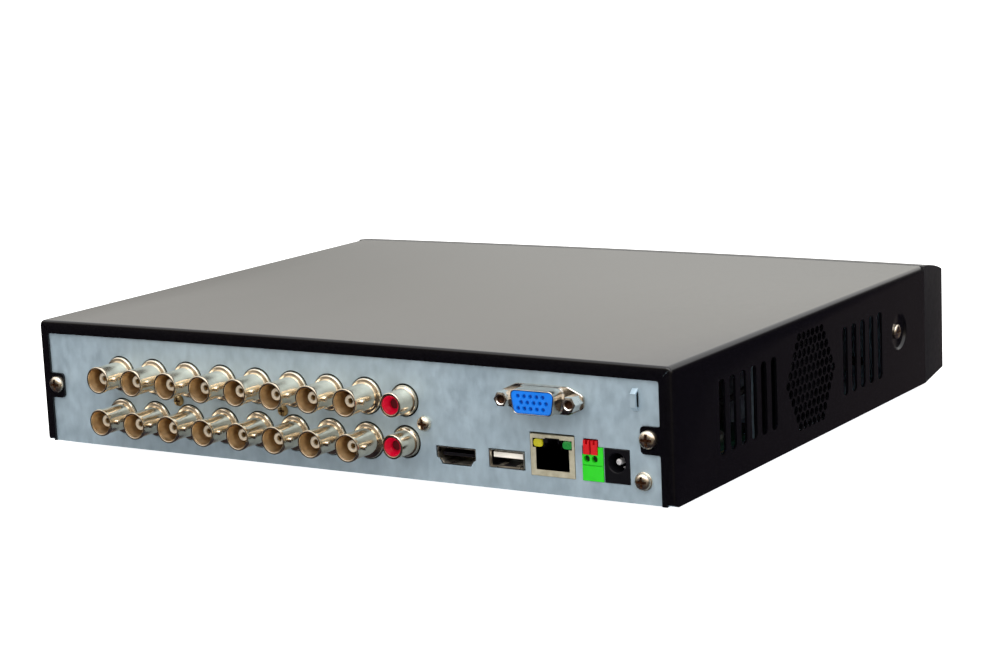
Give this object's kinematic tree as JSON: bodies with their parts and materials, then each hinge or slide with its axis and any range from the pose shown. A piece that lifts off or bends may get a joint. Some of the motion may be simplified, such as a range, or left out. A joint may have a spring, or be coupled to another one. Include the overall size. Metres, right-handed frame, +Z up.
{
  "type": "dvr recorder",
  "caption": "Compact black video recorder with rear BNC video jacks, audio, VGA, HDMI, USB, network, terminal and power jacks, a side fan and a hard disk inside.",
  "frame": {"origin": "middle of the bounding box's bottom, on the plane of the feet", "axes": "+Z up, +Y towards the rear panel with the jacks, -Y towards the front bezel, +X to the right seen from the front"},
  "size_m": [0.259, 0.232, 0.0484],
  "materials": {
    "cover_paint": "fine satin powder coat",
    "zinc_steel": "galvanised, faint vertical grain",
    "bezel_plastic": "fine spark-eroded texture",
    "clear_plastic": "clear light pipe",
    "dark_window": "infrared-pass",
    "foot_rubber": "moulded",
    "nickel_screw": "nickel plated",
    "brass_screw": "dull brass plated",
    "zinc_screw": "zinc plated",
    "black_screw": "black oxide",
    "nickel": "satin nickel plate",
    "white_plastic": "natural",
    "gold": "gold flash",
    "black_plastic": "moulded",
    "red_plastic": "moulded",
    "blue_plastic": "moulded",
    "green_plastic": "moulded",
    "lamp_plastic": "diffusing",
    "tin_plate": "tin plated sheet",
    "board_green": "solder mask",
    "anodised": "black anodised",
    "cast_aluminium": "die cast",
    "disk_lid": "stamped",
    "platter": "mirror polished",
    "magnet": "nickel plated",
    "lead_sleeve": "soft insulation"
  },
  "bodies": {
    "casing": {"top_cover": "cover_paint", "base_chassis": "zinc_steel", "front_bezel": "bezel_plastic", "indicator_lens": "clear_plastic", "remote_window": "dark_window", "foot_1": "foot_rubber", "foot_2": "foot_rubber", "foot_3": "foot_rubber", "foot_4": "foot_rubber", "cover_screws": "nickel_screw", "ground_screw": "nickel_screw", "jack_block_screws": "brass_screw", "board_standoffs": "brass_screw", "board_screws": "zinc_screw", "drive_screws": "zinc_screw", "fan_screws": "black_screw", "bnc_shells_1": "nickel", "bnc_shells_2": "nickel", "bnc_shells_3": "nickel", "bnc_shells_4": "nickel", "bnc_shells_5": "nickel", "bnc_shells_6": "nickel", "bnc_shells_7": "nickel", "bnc_shells_8": "nickel", "bnc_insulators": "white_plastic", "bnc_contacts": "gold", "bnc_block": "black_plastic", "rca_shells": "nickel", "rca_inserts": "red_plastic", "rca_block": "black_plastic", "vga_shell": "nickel", "vga_insert": "blue_plastic", "vga_jackscrews": "nickel_screw", "vga_riser": "board_green", "hdmi_shell": "tin_plate", "hdmi_tongue": "black_plastic", "usb_shell": "tin_plate", "usb_tongue": "white_plastic", "lan_shield": "tin_plate", "lan_body": "black_plastic", "lan_lamps": "lamp_plastic", "lan_contacts": "gold", "terminal_body": "green_plastic", "dc_jack_body": "black_plastic", "dc_jack_pin": "nickel", "main_board": "board_green", "board_parts": "black_plastic", "heat_sink": "anodised", "coin_cell": "zinc_screw", "fan_frame": "black_plastic", "drive_casting": "cast_aluminium", "drive_lid": "disk_lid", "drive_magnets": "magnet", "drive_board": "board_green", "inner_leads": "lead_sleeve"},
    "fan_rotor": {"fan_rotor": "black_plastic"},
    "drive_spindle": {"drive_spindle": "platter"},
    "drive_arm": {"drive_arm": "cast_aluminium"},
    "terminal_button_1": {"terminal_button_1": "red_plastic"},
    "terminal_button_2": {"terminal_button_2": "red_plastic"}
  },
  "joints": [
    {"name": "fan_spin", "type": "hinge", "parent": "casing", "child": "fan_rotor", "pos_m": [-0.1224, 0.0044, 0.0254], "axis": [1, 0, 0], "continuous": true},
    {"name": "platter_spin", "type": "hinge", "parent": "casing", "child": "drive_spindle", "pos_m": [-0.047, -0.0422, 0.025], "axis": [0, 0, 1], "continuous": true},
    {"name": "arm_swing", "type": "hinge", "parent": "casing", "child": "drive_arm", "pos_m": [0.005, -0.064, 0.025], "axis": [0, 0, 1], "range_deg": [0, 32]},
    {"name": "button_1_press", "type": "slide", "parent": "casing", "child": "terminal_button_1", "axis": [0, -1, 0], "range_m": [0, 0.0015], "stiffness_N_per_m": 600, "springref_m": -0.0005},
    {"name": "button_2_press", "type": "slide", "parent": "casing", "child": "terminal_button_2", "axis": [0, -1, 0], "range_m": [0, 0.0015], "stiffness_N_per_m": 600, "springref_m": -0.0005}
  ]
}
